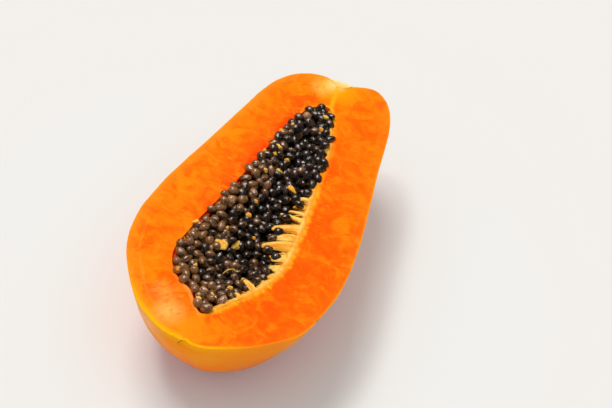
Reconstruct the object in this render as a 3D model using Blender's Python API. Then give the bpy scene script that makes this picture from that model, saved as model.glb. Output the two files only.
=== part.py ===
"""Half of a ripe papaya, cut lengthwise and lying on its skin with the cut side up.

The fruit lies along +Y, blossom end first and stem end last. Every surface is a bowl
hung from the cut plane: a right rim, a floor line and a left rim run from pole to pole,
and the bowl's sections swing smoothly from one to the next. The flesh is the bowl of
the skin around the bowl of the seed cavity, and the lining and the seed mass are the
same cavity drawn in towards its middle.
"""

import math

import bmesh
import bpy
from mathutils import Vector, noise

# Driving dimensions, in metres.
LENGTH = 0.2525           # blossom pole to the mouth of the stem socket
HALF_WIDTH = 0.070        # fruit axis to the widest point of the rim
DEPTH = 0.0735            # cut plane to the keel, before the resting spot is flattened
KEEL_SHIFT = 0.006        # how far the keel swings to the right at the blossom end
KEEL_SWING = 0.6          # share of the length over which the keel comes back
FLAT_SPOT = 0.0015        # how much the keel is flattened where the half rests
CAVITY_START = 0.0227     # blossom pole to the cavity's lower tip
CAVITY_LENGTH = 0.2063    # tip to tip
CAVITY_HALF_WIDTH = 0.034
CAVITY_DEPTH = 0.038
CAVITY_OFFSET = 0.0016    # the cavity sits this far to the right of the fruit's axis
LINING = 0.0024           # thickness of the fibrous lining
FIT_GAP = 0.0003          # between pieces that touch
STEM_RADIUS = 0.0078      # of the stem base, and of the socket that it fills
STEM_DEPTH = 0.0046       # how far the stem base reaches into the flesh
STEM_CROWN = 0.0012       # how far its trimmed end stands out of the socket

# Shape of the sections.
WALL_TUCK = 0.23          # how strongly the skin leans in below the cut edge
LOBES = 5                 # a papaya grows from five seed leaves
LOBE_RELIEF = 0.014       # ridge height on the skin, as a share of its radius
CORNER_RELIEF = 0.09      # how far the five corners of the cavity reach out
RIGHT_SLOPE = 0.85        # how strongly the cavity's right wall slopes in from the cut

# Heap of seeds.
HEAP_EDGE = 0.0010        # how far below the cut the heap meets the left wall
HEAP_CROWN = 0.0012       # how far the full part of the heap stands above the cut
HEAP_VALLEY = 0.20        # depth of the valley along its middle, of the cavity's own
VALLEY_ACROSS = -0.05     # place of the valley, as a share of the cavity's half width
VALLEY_SPREAD = 0.30
HEAP_BARE = 0.38          # depth of the heap below the bare stretch of the right wall
BARE_ALONG = 0.36         # middle of that stretch, as a share of the cavity's length
BARE_SPREAD = 0.28
BARE_EDGE = 0.45          # where across the cavity the bare stretch begins
HEAP_FULL = 0.4           # share of the cavity's depth from which on the heap is full
HEAP_BUMP = 0.0024        # relief of the single seeds
BUMP_SPACING = 0.010      # from one hump of that relief to the next
HEAP_GAP = 0.0007         # to the lining, whose facets lie at other angles than the heap's

# How finely the surfaces are divided.
CURVE_STEPS = 24          # from one station of a line to the next
RINGS = 42                # along the fruit, pole to pole
SKIN_STEPS = 26           # from rim to rim round the skin
CAVITY_STEPS = 15         # from rim to rim round the cavity
CUT_LOOPS = 4             # from the skin to the cavity across the cut face
HEAP_STEPS = 10           # from wall to wall across the heap
STEM_STEPS = 12           # half way round the stem base
WALL_CHECKS = 240         # up a wall, where the heap's edge is looked for

# Lines of the skin: share of the half width or depth, share of the length.
SKIN_RIGHT = (
    (0.00, 0.003), (0.07, -0.003), (0.20, 0.000), (0.39, 0.027), (0.64, 0.077),
    (0.90, 0.155), (1.00, 0.270), (1.02, 0.350), (0.975, 0.475), (0.87, 0.625),
    (0.775, 0.745), (0.70, 0.860), (0.63, 0.935), (0.52, 0.998), (0.33, 1.031),
    (0.18, 1.018), (0.1114, 1.002),
)
SKIN_LEFT = (
    (0.00, 0.003), (0.05, -0.003), (0.18, 0.003), (0.34, 0.021), (0.58, 0.068),
    (0.86, 0.178), (0.96, 0.270), (0.975, 0.350), (0.925, 0.475), (0.82, 0.625),
    (0.74, 0.745), (0.67, 0.845), (0.61, 0.910), (0.50, 0.965), (0.35, 0.996),
    (0.20, 1.007), (0.1114, 1.002),
)
SKIN_KEEL = (
    (0.00, 0.003), (0.06, -0.003), (0.19, 0.001), (0.38, 0.024), (0.64, 0.072),
    (0.87, 0.165), (0.96, 0.275), (0.99, 0.380), (1.00, 0.470), (0.98, 0.575),
    (0.92, 0.680), (0.83, 0.780), (0.73, 0.867), (0.61, 0.935), (0.45, 0.990), (0.28, 1.018),
    (0.16, 1.012), (0.1061, 1.002),
)

# Lines of the cavity: share of its half width or depth, share of its length.
CAVITY_RIGHT = (
    (0.00, 0.000), (0.14, 0.017), (0.41, 0.086), (0.71, 0.167), (0.90, 0.250),
    (0.93, 0.340), (0.85, 0.450), (0.75, 0.555), (0.62, 0.680), (0.53, 0.790),
    (0.40, 0.865), (0.20, 0.950), (0.00, 1.000),
)
CAVITY_LEFT = (
    (0.00, 0.000), (0.13, 0.022), (0.38, 0.070), (0.55, 0.080), (0.84, 0.112),
    (1.04, 0.165), (1.07, 0.220), (0.98, 0.350), (0.83, 0.490), (0.70, 0.640),
    (0.60, 0.770), (0.50, 0.880), (0.33, 0.965), (0.00, 1.000),
)
CAVITY_FLOOR = (
    (0.00, 0.000), (0.18, 0.022), (0.55, 0.075), (0.85, 0.150), (0.99, 0.260),
    (1.00, 0.360), (0.94, 0.480), (0.83, 0.610), (0.69, 0.740), (0.52, 0.860),
    (0.27, 0.960), (0.00, 1.000),
)


def catmull_rom(p0, p1, p2, p3, share):
    """A point between p1 and p2 on the smooth curve through all four."""
    a = 2.0 * p1
    b = p2 - p0
    c = 2.0 * p0 - 5.0 * p1 + 4.0 * p2 - p3
    d = 3.0 * p1 - p0 - 3.0 * p2 + p3
    return 0.5 * (a + b * share + c * share ** 2 + d * share ** 3)


def smooth_line(stations, count):
    """Points spaced evenly along the smooth curve through the stations."""
    knots = [Vector(station) for station in stations]
    ends = [2.0 * knots[0] - knots[1]] + knots + [2.0 * knots[-1] - knots[-2]]
    fine = []
    for index in range(len(knots) - 1):
        for step in range(CURVE_STEPS):
            fine.append(catmull_rom(*ends[index:index + 4], step / CURVE_STEPS))
    fine.append(knots[-1])
    travelled = [0.0]
    for near, far in zip(fine, fine[1:]):
        travelled.append(travelled[-1] + (far - near).length)
    line = []
    index = 0
    for step in range(count + 1):
        wanted = travelled[-1] * step / count
        while index < len(fine) - 2 and travelled[index + 1] < wanted:
            index += 1
        span = travelled[index + 1] - travelled[index]
        line.append(fine[index].lerp(fine[index + 1], (wanted - travelled[index]) / span))
    return line


def scaled_line(stations, radius, start, length, count):
    """A pole-to-pole line in metres, as (distance from the axis, place along +Y)."""
    sized = [(radius * out, start + length * along) for out, along in stations]
    return smooth_line(sized, count)


def skin_section(theta):
    """Width and depth factors of the skin at an angle from the right rim."""
    ridge = 1.0 + LOBE_RELIEF * math.sin(theta) * math.cos(LOBES * theta)
    tuck = 1.0 - WALL_TUCK * math.sin(theta) * math.cos(theta) ** 2
    return math.cos(theta) * tuck * ridge, math.sin(theta) * ridge


def cavity_section(theta):
    """The same for the cavity, which has a corner at the right rim and every 72 degrees."""
    corner = 1.0 + CORNER_RELIEF * math.cos(LOBES * theta)
    reach = corner / (1.0 + CORNER_RELIEF * math.cos(theta))
    rightness = (1.0 + math.cos(theta)) / 2.0
    slope = 1.0 - RIGHT_SLOPE * math.sin(theta) * rightness
    return math.cos(theta) * reach * slope, math.sin(theta) * reach


def bowl_point(right, left, floor, theta, section):
    """A point of a bowl, from the three lines' points and the angle from the right rim."""
    width, depth = section(theta)
    to_left = (1.0 - math.cos(theta)) / 2.0
    side = right.lerp(left, to_left)
    lean = math.cos(theta) ** 2
    along = side.y * lean + floor.y * (1.0 - lean)
    return Vector((width * side.x, along, -depth * floor.x))


def skin_rings():
    """Rings of the skin from the blossom pole to the socket's floor, right rim to left."""
    lines = [
        scaled_line(SKIN_RIGHT, HALF_WIDTH, 0.0, LENGTH, RINGS),
        scaled_line(SKIN_LEFT, HALF_WIDTH, 0.0, LENGTH, RINGS),
        scaled_line(SKIN_KEEL, DEPTH, 0.0, LENGTH, RINGS),
    ]
    angles = [math.pi * step / SKIN_STEPS for step in range(SKIN_STEPS + 1)]
    rings = []
    for right, left, floor in list(zip(*lines))[1:-1]:
        ring = [bowl_point(right, left, floor, angle, skin_section) for angle in angles]
        swing = KEEL_SHIFT * floor.x / DEPTH * max(0.0, 1.0 - floor.y / (KEEL_SWING * LENGTH))
        for point, angle in zip(ring, angles):
            point.x += swing * math.sin(angle) ** 2
        rings.append(ring)
    for radius, along in socket_profile(0.0):
        rings.append([round_point(radius, along, angle) for angle in angles])
    for ring in rings:
        for point in ring:
            point.z = max(point.z, FLAT_SPOT - DEPTH)
    first = lines[0][0]
    poles = (Vector((0.0, first.y, 0.0)), Vector((0.0, LENGTH - STEM_DEPTH, 0.0)))
    return poles, rings


def socket_profile(gap):
    """The stem socket's mouth, wall and floor, or the same drawn in by a gap."""
    return [
        (STEM_RADIUS - gap, LENGTH),
        (0.90 * STEM_RADIUS - gap, LENGTH - 0.70 * STEM_DEPTH),
        (0.55 * STEM_RADIUS - gap, LENGTH - 0.96 * STEM_DEPTH + gap),
    ]


def round_point(radius, along, theta):
    """A point of a round piece on the fruit's axis."""
    return Vector((radius * math.cos(theta), along, -radius * math.sin(theta)))


def cavity_lines():
    """The cavity's right rim, left rim and floor, with as many rings as the skin has."""
    count = RINGS + len(socket_profile(0.0))
    return [
        scaled_line(CAVITY_RIGHT, CAVITY_HALF_WIDTH, CAVITY_START, CAVITY_LENGTH, count),
        scaled_line(CAVITY_LEFT, CAVITY_HALF_WIDTH, CAVITY_START, CAVITY_LENGTH, count),
        scaled_line(CAVITY_FLOOR, CAVITY_DEPTH, CAVITY_START, CAVITY_LENGTH, count),
    ]


def draw_in(point, distance):
    """Move a cavity point towards the cavity's middle, by that distance at the widest."""
    middle = CAVITY_START + CAVITY_LENGTH / 2.0
    return Vector((
        CAVITY_OFFSET + point.x * (1.0 - distance / CAVITY_HALF_WIDTH),
        middle + (point.y - middle) * (1.0 - 2.0 * distance / CAVITY_LENGTH),
        point.z * (1.0 - distance / CAVITY_DEPTH),
    ))


def cavity_rings(distance):
    """Poles and rings of the cavity wall, drawn in by a distance."""
    lines = cavity_lines()
    angles = [math.pi * step / CAVITY_STEPS for step in range(CAVITY_STEPS + 1)]
    rings = []
    for right, left, floor in list(zip(*lines))[1:-1]:
        ring = [bowl_point(right, left, floor, angle, cavity_section) for angle in angles]
        rings.append([draw_in(point, distance) for point in ring])
    tips = [Vector((0.0, lines[0][end].y, 0.0)) for end in (0, -1)]
    return [draw_in(tip, distance) for tip in tips], rings


def add_bowl(mesh, poles, rings):
    """Add a bowl's skin of faces and return its rim, up the right side and down the left."""
    rows = [[mesh.verts.new(point) for point in ring] for ring in rings]
    first, last = (mesh.verts.new(pole) for pole in poles)
    for near, far in zip(rows, rows[1:]):
        for index in range(len(near) - 1):
            mesh.faces.new((near[index], near[index + 1], far[index + 1], far[index]))
    for index in range(len(rows[0]) - 1):
        mesh.faces.new((first, rows[0][index + 1], rows[0][index]))
        mesh.faces.new((last, rows[-1][index], rows[-1][index + 1]))
    right = [row[0] for row in rows]
    left = [row[-1] for row in reversed(rows)]
    return [first] + right + [last] + left


def join_loops(mesh, outer, inner):
    """Close the band between two loops of the same number of vertices."""
    count = len(outer)
    for index in range(count):
        after = (index + 1) % count
        mesh.faces.new((outer[index], outer[after], inner[after], inner[index]))


def heap_fullness(depth):
    """How full the heap is where the cavity has that depth: nothing at its tips."""
    return min(1.0, depth / (HEAP_FULL * CAVITY_DEPTH))


def bell(value, centre, spread):
    """A smooth hump of height 1 at the centre."""
    return math.exp(-((value - centre) / spread) ** 2)


def heap_level(x, y, depth):
    """Height of the seed heap over a place in the plan, before its bumps."""
    along = (y - CAVITY_START) / CAVITY_LENGTH
    across = (x - CAVITY_OFFSET) / CAVITY_HALF_WIDTH
    valley = HEAP_VALLEY * bell(across, VALLEY_ACROSS, VALLEY_SPREAD)
    rightwards = min(1.0, max(0.0, across / BARE_EDGE))
    bare = HEAP_BARE * bell(along, BARE_ALONG, BARE_SPREAD) * rightwards
    return HEAP_CROWN * heap_fullness(depth) - depth * max(valley, bare)


def heap_bump(x, y, depth):
    """Rounded humps and dips where the seeds lie higher and lower."""
    place = Vector((x, y, 0.0)) / BUMP_SPACING
    return HEAP_BUMP * noise.noise(place) * heap_fullness(depth)


def wall_angle(lines, distance, from_left):
    """The angle at which a section of the wall first comes up to the heap."""
    depth = lines[2].x
    edge = -HEAP_EDGE * heap_fullness(depth)
    for step in range(WALL_CHECKS):
        theta = 0.5 * math.pi * step / WALL_CHECKS
        if from_left:
            theta = math.pi - theta
        point = draw_in(bowl_point(*lines, theta, cavity_section), distance)
        if point.z <= min(heap_level(point.x, point.y, depth), edge):
            break
    return theta


def heap_rings(distance):
    """Closed rings of the seed mass: round the wall from right to left, and back on top.

    The top rises steeply from both walls, so that the heap is full from side to side.
    """
    rings = []
    for lines in list(zip(*cavity_lines()))[1:-1]:
        depth = lines[2].x
        right = wall_angle(lines, distance, False)
        left = wall_angle(lines, distance, True)
        ring = []
        for step in range(CAVITY_STEPS + 1):
            theta = right + (left - right) * step / CAVITY_STEPS
            ring.append(draw_in(bowl_point(*lines, theta, cavity_section), distance))
        for step in range(1, HEAP_STEPS):
            share = step / HEAP_STEPS
            point = ring[CAVITY_STEPS].lerp(ring[0], share)
            rise = 1.0 - (2.0 * share - 1.0) ** 6
            bump = heap_bump(point.x, point.y, depth)
            point.z += (heap_level(point.x, point.y, depth) + bump - point.z) * rise
            ring.append(point)
        rings.append(ring)
    return rings


def finish(name, mesh, material):
    """Turn the bmesh into a named object with outward faces and one material."""
    bmesh.ops.recalc_face_normals(mesh, faces=mesh.faces)
    data = bpy.data.meshes.new(name)
    mesh.to_mesh(data)
    mesh.free()
    data.shade_smooth()
    data.set_sharp_from_angle(angle=math.radians(40.0))
    data.materials.append(material)
    piece = bpy.data.objects.new(name, data)
    bpy.context.scene.collection.objects.link(piece)
    return piece


def food_material(name, colour, roughness):
    """A Principled material of one colour."""
    material = bpy.data.materials.new(name)
    material.use_nodes = True
    shader = material.node_tree.nodes["Principled BSDF"]
    shader.inputs["Base Color"].default_value = (*colour, 1.0)
    shader.inputs["Roughness"].default_value = roughness
    shader.inputs["Metallic"].default_value = 0.0
    return material


def build_flesh():
    """Skin bowl, cut face and cavity wall as one solid."""
    mesh = bmesh.new()
    skin_rim = add_bowl(mesh, *skin_rings())
    cavity_rim = add_bowl(mesh, *cavity_rings(0.0))
    loops = [skin_rim]
    for step in range(1, CUT_LOOPS):
        share = step / CUT_LOOPS
        points = [outer.co.lerp(inner.co, share) for outer, inner in zip(skin_rim, cavity_rim)]
        loops.append([mesh.verts.new(point) for point in points])
    loops.append(cavity_rim)
    for outer_loop, inner_loop in zip(loops, loops[1:]):
        join_loops(mesh, outer_loop, inner_loop)
    return finish("flesh_half", mesh, food_material("orange_flesh", (0.95, 0.24, 0.01), 0.45))


def build_lining():
    """The fibrous layer that lines the cavity, between two nested bowls."""
    mesh = bmesh.new()
    outer = add_bowl(mesh, *cavity_rings(FIT_GAP))
    inner = add_bowl(mesh, *cavity_rings(FIT_GAP + LINING))
    join_loops(mesh, outer, inner)
    return finish("cavity_lining", mesh, food_material("pale_lining", (0.90, 0.52, 0.10), 0.60))


def build_seed_mass():
    """The heap of seeds as one solid, with an uneven top that sinks along the right wall."""
    mesh = bmesh.new()
    distance = FIT_GAP + LINING + HEAP_GAP
    rows = [[mesh.verts.new(point) for point in ring] for ring in heap_rings(distance)]
    for near, far in zip(rows, rows[1:]):
        join_loops(mesh, near, far)
    for row in (rows[0], rows[-1]):
        mesh.faces.new(row)
    return finish("seed_mass", mesh, food_material("black_seeds", (0.02, 0.012, 0.01), 0.25))


def build_stem_base():
    """The trimmed stem, cut in half with the fruit and seated in its socket."""
    mesh = bmesh.new()
    profile = list(reversed(socket_profile(FIT_GAP)))
    profile.append((0.80 * STEM_RADIUS, LENGTH + 0.8 * STEM_CROWN))
    angles = [math.pi * step / STEM_STEPS for step in range(STEM_STEPS + 1)]
    rings = [[round_point(radius, along, angle) for angle in angles] for radius, along in profile]
    floor = Vector((0.0, LENGTH - STEM_DEPTH + FIT_GAP, 0.0))
    rim = add_bowl(mesh, (floor, Vector((0.0, LENGTH + STEM_CROWN, 0.0))), rings)
    mesh.faces.new(rim)
    return finish("stem_base", mesh, food_material("cream_stem", (0.85, 0.76, 0.42), 0.70))


def rest_on_ground(pieces):
    """Put the middle of the half's footprint at the origin, with its lowest point at 0."""
    corners = [vertex.co for piece in pieces for vertex in piece.data.vertices]
    low = Vector([min(corner[axis] for corner in corners) for axis in range(3)])
    high = Vector([max(corner[axis] for corner in corners) for axis in range(3)])
    for piece in pieces:
        piece.location = (-(low.x + high.x) / 2.0, -(low.y + high.y) / 2.0, -low.z)


for old in list(bpy.data.objects):
    bpy.data.objects.remove(old, do_unlink=True)
rest_on_ground([build_flesh(), build_lining(), build_seed_mass(), build_stem_base()])
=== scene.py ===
# %% [markdown]
# # Half a papaya
#
# A ripe papaya, cut lengthwise, lies on its skin with the cut side up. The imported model
# gives the true shape of its four parts: the flesh with its skin, the fibrous lining of
# the cavity, the heap of seeds and the trimmed stem. The looks are built on that frame.
# Each part is smoothed, given its torn or cut edges and painted, and the heap becomes
# several hundred single seeds. Lengths are in metres, but the paints and the tables below
# give theirs in millimetres. +Y runs from the blossom end of the fruit to its stem end, and
# the cut face looks up.

import math

import bpy
import numpy as np
from mathutils import Euler, Matrix, Vector, noise
from mathutils.bvhtree import BVHTree
from mathutils.geometry import convex_hull_2d


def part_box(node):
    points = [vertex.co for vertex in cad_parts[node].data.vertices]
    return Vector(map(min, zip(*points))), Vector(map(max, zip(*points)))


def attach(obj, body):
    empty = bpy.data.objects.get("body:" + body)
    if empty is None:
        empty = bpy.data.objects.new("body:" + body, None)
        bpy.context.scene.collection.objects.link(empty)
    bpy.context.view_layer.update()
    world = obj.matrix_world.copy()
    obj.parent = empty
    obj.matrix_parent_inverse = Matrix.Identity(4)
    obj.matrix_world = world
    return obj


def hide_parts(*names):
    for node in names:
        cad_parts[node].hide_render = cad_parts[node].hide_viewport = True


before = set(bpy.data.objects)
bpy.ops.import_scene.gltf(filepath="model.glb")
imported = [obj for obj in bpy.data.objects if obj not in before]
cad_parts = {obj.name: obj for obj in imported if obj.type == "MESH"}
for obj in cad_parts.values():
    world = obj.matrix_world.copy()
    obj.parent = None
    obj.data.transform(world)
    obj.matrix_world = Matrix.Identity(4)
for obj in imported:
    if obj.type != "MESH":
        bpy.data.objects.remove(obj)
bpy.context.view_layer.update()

MM = 0.001
flesh_low, flesh_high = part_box("flesh_half")
CUT = flesh_high.z
length = flesh_high.y - flesh_low.y
print("cut face at", round(CUT / MM, 1), "mm, fruit", round(length / MM), "mm long")

# %% [markdown]
# ## Camera, floor and light
#
# The half is seen from above its blossom end, as on a kitchen table, a little from the
# right, and the camera is rolled so that the fruit leans across the picture. A long lens
# keeps the fruit's proportions. The light is that of a white studio: a bright pale
# surround from all sides, and one large soft lamp behind the fruit's left side, which
# draws the small lights on the seeds. A sun lamp with a wide angle does that, because it
# lights every part of the fruit alike.

# %% Camera
CAMERA_AZIMUTH = math.radians(14.7)
CAMERA_HEIGHT = math.radians(48.0)
CAMERA_ROLL = math.radians(12.0)
CAMERA_DISTANCE = 1.1
FIELD_WIDTH = 0.400
SENSOR = 36.0
AIM = Vector((0.0214, 0.0089, CUT))


def look_direction(azimuth, height):
    """Unit vector from the aim point to an eye at that azimuth and height."""
    flat = math.cos(height)
    return Vector((math.sin(azimuth) * flat, -math.cos(azimuth) * flat, math.sin(height)))


bpy.ops.object.select_all(action="DESELECT")
bpy.ops.object.camera_add()
camera = bpy.context.object
camera.name = "camera"
camera.data.sensor_width = SENSOR
camera.data.lens = SENSOR * CAMERA_DISTANCE / FIELD_WIDTH
camera.data.clip_start = 0.05
camera.data.clip_end = 40.0
to_eye = look_direction(CAMERA_AZIMUTH, CAMERA_HEIGHT)
camera.location = AIM + to_eye * CAMERA_DISTANCE
facing = to_eye.to_track_quat("Z", "Y").to_matrix().to_4x4()
camera.rotation_euler = (facing @ Matrix.Rotation(CAMERA_ROLL, 4, "Z")).to_euler()
bpy.context.scene.camera = camera
bpy.context.scene.view_settings.view_transform = "Standard"
print("lens", round(camera.data.lens, 1), "mm")

# %% [markdown]
# ## Numbers that vary over a surface
#
# A painted finish is a small calculation: how far a point is from the skin, how much
# noise is there, which colour follows. Blender does it with nodes. A wrapper round a
# socket lets Python's own operators add the Math nodes, so that a mask reads like the
# formula it is, and one method adds every other kind of node. A paint then lays colour
# over colour, each with its own mask.

# %% Shader maths


class Field:
    """A number, colour or vector that varies over a surface."""

    def __init__(self, paint, socket):
        self.paint = paint
        self.socket = socket

    def maths(self, operation, *others, swapped=False):
        values = [self, *others]
        if swapped:
            values.reverse()
        return self.paint.add("ShaderNodeMath", {"operation": operation}, dict(enumerate(values)))

    def __add__(self, other):
        return self.maths("ADD", other)

    __radd__ = __add__

    def __sub__(self, other):
        return self.maths("SUBTRACT", other)

    def __rsub__(self, other):
        return self.maths("SUBTRACT", other, swapped=True)

    def __mul__(self, other):
        return self.maths("MULTIPLY", other)

    __rmul__ = __mul__

    def __pow__(self, other):
        return self.maths("POWER", other)

    def size(self):
        return self.maths("ABSOLUTE")

    def step(self, low, high):
        """0 below low, 1 above high and a smooth rise between them; low may be the larger."""
        settings = {"interpolation_type": "SMOOTHSTEP"}
        if low < high:
            return self.paint.add("ShaderNodeMapRange", settings, {0: self, 1: low, 2: high})
        return self.paint.add("ShaderNodeMapRange", settings, {0: self, 1: high, 2: low, 3: 1.0, 4: 0.0})

    def ramp(self, low, high):
        """The same step between two lengths in millimetres."""
        return self.step(low * MM, high * MM)

    def scaled(self, x, y, z):
        """A vector, scaled along each axis."""
        settings = {"operation": "MULTIPLY"}
        return self.paint.add("ShaderNodeVectorMath", settings, {0: self, 1: (x, y, z)})

    def part(self, axis):
        """One of the three numbers of a vector."""
        return self.paint.add("ShaderNodeSeparateXYZ", {}, {0: self}, output=axis)


class Paint:
    """A Principled material whose colours are laid one over another, by formulas."""

    def __init__(self, name, base=(255, 255, 255), **uniform):
        self.material = bpy.data.materials.new(name)
        self.material.use_nodes = True
        self.tree = self.material.node_tree
        self.shader = self.tree.nodes["Principled BSDF"]
        for socket, value in uniform.items():
            self.shader.inputs[socket.replace("_", " ")].default_value = value
        self.colour = tint(*base)
        self.place = self.add("ShaderNodeTexCoord", {}, {}, output="Object")
        self.x = self.place.part(0)
        self.y = self.place.part(1)
        self.drop = CUT - self.place.part(2)

    def add(self, kind, settings, inputs, output=0):
        """A node of that kind, its settings first, then the values or links of its sockets."""
        node = self.tree.nodes.new(kind)
        for name, value in settings.items():
            setattr(node, name, value)
        for key, value in inputs.items():
            if isinstance(value, Field):
                self.tree.links.new(value.socket, node.inputs[key])
            else:
                node.inputs[key].default_value = value
        return Field(self, node.outputs[output])

    def attribute(self, name, output="Fac"):
        return self.add("ShaderNodeAttribute", {"attribute_name": name}, {}, output=output)

    def noise(self, size, detail=3.0, roughness=0.55, place=None, warp=0.0):
        """Noise from 0 to 1, its features about that size in millimetres."""
        inputs = {
            "Vector": place or self.place,
            "Scale": 1.0 / (size * MM),
            "Detail": detail,
            "Roughness": roughness,
            "Distortion": warp,
        }
        return self.add("ShaderNodeTexNoise", {}, inputs)

    def spot(self, x, y, radius, full=0.1):
        """1 round a place in the plan, falling off to 0 at that radius, in millimetres."""
        offset = self.x - x * MM
        rise = self.y - y * MM
        return ((offset * offset + rise * rise) ** 0.5).ramp(radius, full * radius)

    def blend(self, share, base, top):
        """The base colour, with the top colour over it where the share is 1."""
        return self.add("ShaderNodeMix", {"data_type": "RGBA"}, {0: share, 6: base, 7: top}, output=2)

    def cover(self, share, top):
        """Lay a colour, 0 to 255 each, or a varying one over what is there."""
        top = top if isinstance(top, Field) else tint(*top)
        self.colour = self.blend(share, self.colour, top)

    def bump(self, height, depth):
        """A surface normal from a height of 0 to 1 that stands for that many millimetres."""
        inputs = {"Height": height, "Strength": 1.0, "Distance": depth * MM}
        return self.add("ShaderNodeBump", {}, inputs)

    def lay(self, **outputs):
        """Feed the colour and the named sockets of the shader, and return the material."""
        for socket, field in {"Base_Color": self.colour, **outputs}.items():
            self.tree.links.new(field.socket, self.shader.inputs[socket.replace("_", " ")])
        return self.material


def tint(red, green, blue):
    """A linear colour with full opacity, from the 0 to 255 values of a colour chart."""
    def linear(value):
        share = value / 255.0
        return share / 12.92 if share <= 0.04045 else ((share + 0.055) / 1.055) ** 2.4
    return (linear(red), linear(green), linear(blue), 1.0)


print("orange", [round(value, 3) for value in tint(255, 125, 5)])

# %% [markdown]
# ## The studio
#
# The floor is one large pale sheet, and the surround that the camera sees is the same
# pale tone, so that the far edge of the floor can't be told from it. In reflections the
# surround is dim, as if black screens stood round the table, so that wet seeds stay dark
# between their small lights. A second, smaller lamp sharpens those lights. The fruit
# throws orange light on the floor, so the floor's own tone is a little bluer near it.

# %% Floor and lamps
FLOOR_SIZE = 12.0
PALE = (0.913, 0.871, 0.823, 1.0)
FLOOR_TONE = (0.773, 0.726, 0.701, 1.0)
NEAR_TONE = (0.750, 0.778, 0.770, 1.0)
# The near tone ends at the first distance from the middle, and is full within the second.
NEAR_REACH = 280.0
NEAR_FULL = 80.0 / NEAR_REACH
SURROUND_TONE = (0.89, 0.985, 1.0, 1.0)
SURROUND_POWER = 0.72
MIRRORED_POWER = 0.04
MIRRORED = ("Is Glossy Ray", SURROUND_TONE, MIRRORED_POWER)
SEEN = ("Is Camera Ray", PALE, 1.0)


def add_lamp(name, power, spread, colour, azimuth, height):
    """A sun lamp that looks that wide in the sky, on that side and at that height."""
    bpy.ops.object.light_add(type="SUN")
    lamp = bpy.context.object
    lamp.name = name
    lamp.data.energy = power
    lamp.data.angle = math.radians(spread)
    lamp.data.color = colour
    side = look_direction(math.radians(azimuth), math.radians(height))
    lamp.rotation_euler = side.to_track_quat("Z", "Y").to_euler()


bpy.ops.object.select_all(action="DESELECT")
bpy.ops.mesh.primitive_plane_add(size=FLOOR_SIZE)
floor = bpy.context.object
floor.name = "studio_floor"
floor_paint = Paint("pale_floor", Roughness=0.9, Specular_IOR_Level=0.1)
near_fruit = floor_paint.spot(0, 0, NEAR_REACH, NEAR_FULL)
floor_paint.colour = floor_paint.blend(near_fruit, FLOOR_TONE, NEAR_TONE)
floor.data.materials.append(floor_paint.lay())

add_lamp("soft_lamp", power=1.33, spread=24.0, colour=(1.0, 0.90, 0.84), azimuth=-130.0, height=62.0)
add_lamp("small_lamp", power=0.52, spread=11.0, colour=(1.0, 1.0, 1.0), azimuth=-95.0, height=66.0)

surround = bpy.data.worlds.new("studio_surround")
surround.use_nodes = True
nodes = surround.node_tree.nodes
links = surround.node_tree.links
glow = nodes["Background"]
glow.inputs["Color"].default_value = SURROUND_TONE
glow.inputs["Strength"].default_value = SURROUND_POWER
rays = nodes.new("ShaderNodeLightPath")
shown = glow
for kind, colour, power in (MIRRORED, SEEN):
    other = nodes.new("ShaderNodeBackground")
    other.inputs["Color"].default_value = colour
    other.inputs["Strength"].default_value = power
    choice = nodes.new("ShaderNodeMixShader")
    links.new(rays.outputs[kind], choice.inputs[0])
    links.new(shown.outputs[0], choice.inputs[1])
    links.new(other.outputs[0], choice.inputs[2])
    shown = choice
links.new(shown.outputs[0], nodes["World Output"].inputs["Surface"])
bpy.context.scene.world = surround
print("floor", FLOOR_SIZE, "m across")

# %% [markdown]
# ## Working copies
#
# The CAD meshes stay as they are. Each new piece starts as a copy of one, whose loose
# triangles are merged and turned back into the quads they were made of. A subdivision
# surface then rounds the quads off. A crease keeps the sharp edges of the knife cut: the
# edges where the level cut face meets a steeper one.

# %% Helpers for copies and edges


def only(piece):
    """Select this piece alone and make it the active one."""
    if bpy.context.mode != "OBJECT":
        bpy.ops.object.mode_set(mode="OBJECT")
    bpy.ops.object.select_all(action="DESELECT")
    piece.select_set(True)
    bpy.context.view_layer.objects.active = piece
    return piece


def working_copy(node, name):
    """A copy of a CAD node with its triangles merged back into quads."""
    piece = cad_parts[node].copy()
    piece.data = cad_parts[node].data.copy()
    piece.name = name
    piece.data.name = name
    for key in list(piece.keys()):
        del piece[key]
    piece.parent = None
    bpy.context.scene.collection.objects.link(piece)
    only(piece)
    bpy.ops.object.mode_set(mode="EDIT")
    bpy.ops.mesh.select_all(action="SELECT")
    bpy.ops.mesh.remove_doubles(threshold=0.00001)
    bpy.ops.mesh.tris_convert_to_quads(
        face_threshold=math.radians(60), shape_threshold=math.radians(120))
    bpy.ops.object.mode_set(mode="OBJECT")
    return piece


def edit_only(piece, kind, chosen):
    """Open the piece in edit mode with its chosen vertices, edges or faces selected."""
    only(piece)
    bpy.ops.object.mode_set(mode="EDIT")
    bpy.ops.mesh.select_mode(type=kind)
    bpy.ops.mesh.select_all(action="DESELECT")
    bpy.ops.object.mode_set(mode="OBJECT")
    mesh = piece.data
    for part in {"VERT": mesh.vertices, "EDGE": mesh.edges, "FACE": mesh.polygons}[kind]:
        part.select = chosen(part)
    bpy.ops.object.mode_set(mode="EDIT")


def crease(piece, picked):
    """Make the edges whose two end points are in the picked set stay sharp."""
    edit_only(piece, "EDGE", lambda edge: tuple(sorted(edge.vertices)) in picked)
    bpy.ops.transform.edge_crease(value=1.0)
    bpy.ops.object.mode_set(mode="OBJECT")


def apply_modifier(piece, kind, **settings):
    """Add a modifier, set it and apply it."""
    only(piece)
    modifier = piece.modifiers.new(kind.lower(), kind)
    for name, value in settings.items():
        setattr(modifier, name, value)
    bpy.ops.object.modifier_apply(modifier=modifier.name)


def smooth(piece, levels):
    apply_modifier(piece, "SUBSURF", levels=levels, render_levels=levels)


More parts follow.
